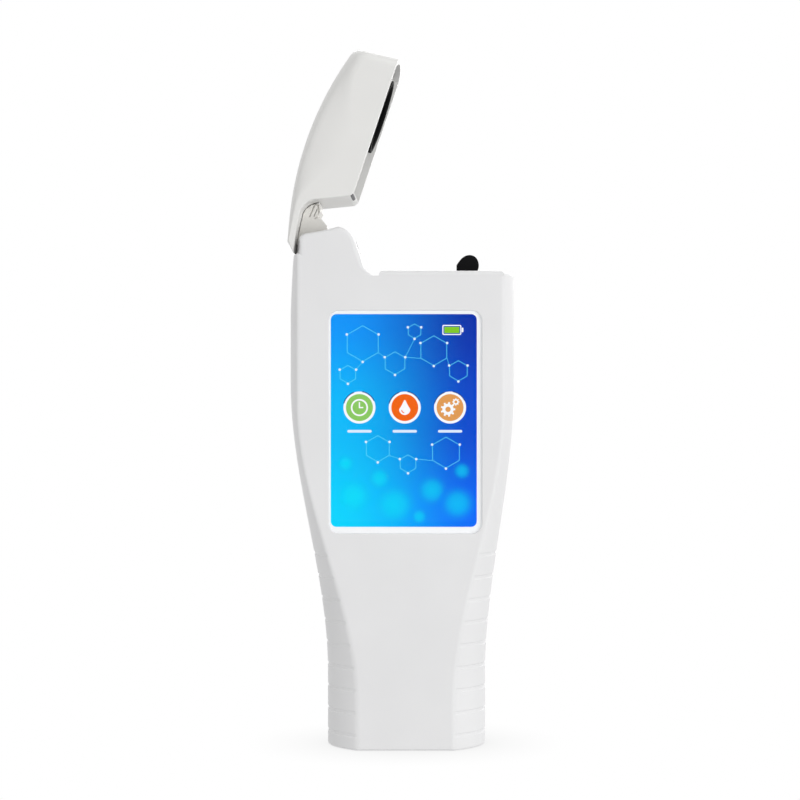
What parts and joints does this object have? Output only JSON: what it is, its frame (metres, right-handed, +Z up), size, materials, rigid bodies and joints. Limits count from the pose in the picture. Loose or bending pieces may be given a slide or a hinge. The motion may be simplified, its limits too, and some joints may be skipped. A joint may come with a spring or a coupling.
{
  "type": "handheld flip-lid luminometer",
  "caption": "Handheld swab luminometer with a flared grip, upright touch display, flip-up lid over the swab well and a black pull-out swab holder.",
  "frame": {"origin": "middle of the flat base, on the parting line of the two shells", "axes": "+Z up the body to the lid, +X to the side of the swab well, -Y out of the display"},
  "size_m": [0.0775, 0.037, 0.2383],
  "materials": {
    "shell_plastic": "fine satin moulded plastic",
    "lid_plastic": "fine satin moulded plastic, slightly warmer",
    "black_plastic": "black moulded plastic",
    "foam": "closed-cell foam",
    "panel_glass": "clear hard glass with a pale printed border",
    "display": "lit colour display",
    "steel": "plated steel",
    "board": "green circuit board",
    "small_plastic": "moulded electronic part",
    "key_plastic": "grey moulded key",
    "seal_rubber": "soft rubber",
    "clear_window": "polished window",
    "battery_film": "wrapped cell"
  },
  "bodies": {
    "housing": {"battery_pack": "battery_film", "battery_tape": "foam", "board_screws": "steel", "buzzer": "small_plastic", "case_screws": "steel", "charge_board": "board", "charging_socket": "steel", "clock_cell": "steel", "deck_plate": "lid_plastic", "detection_chamber": "black_plastic", "detector_board": "board", "detector_ribbon": "small_plastic", "detector_shield": "steel", "display_frame": "black_plastic", "display_gasket": "foam", "friction_washers": "steel", "front_shell": "shell_plastic", "hinge_pin": "steel", "lcd_module": "display", "main_board": "board", "photodetector": "steel", "port_window": "clear_window", "power_switch": "small_plastic", "processor_shield": "steel", "rear_shell": "shell_plastic", "ribbon_socket": "small_plastic", "switch_board": "board", "touch_panel": "panel_glass", "well_seal": "seal_rubber"},
    "lid": {"lid_shell": "lid_plastic", "hinge_arm": "shell_plastic", "light_shroud": "black_plastic", "shroud_foam": "foam", "arm_screws": "steel"},
    "holder": {"swab_holder": "black_plastic"},
    "key": {"power_key": "key_plastic", "switch_plunger": "small_plastic"}
  },
  "joints": [
    {"name": "lid_hinge", "type": "hinge", "parent": "housing", "child": "lid", "pos_m": [-0.031, 0, 0.1686], "axis": [0, 1, 0], "range_deg": [0, 71.5]},
    {"name": "holder_lift", "type": "slide", "parent": "housing", "child": "holder", "axis": [0, 0, 1], "range_m": [0, 0.01]},
    {"name": "key_press", "type": "slide", "parent": "housing", "child": "key", "axis": [1, 0, 0], "range_m": [0, 0.0006], "stiffness_N_per_m": 2500, "springref_m": -0.0002}
  ]
}
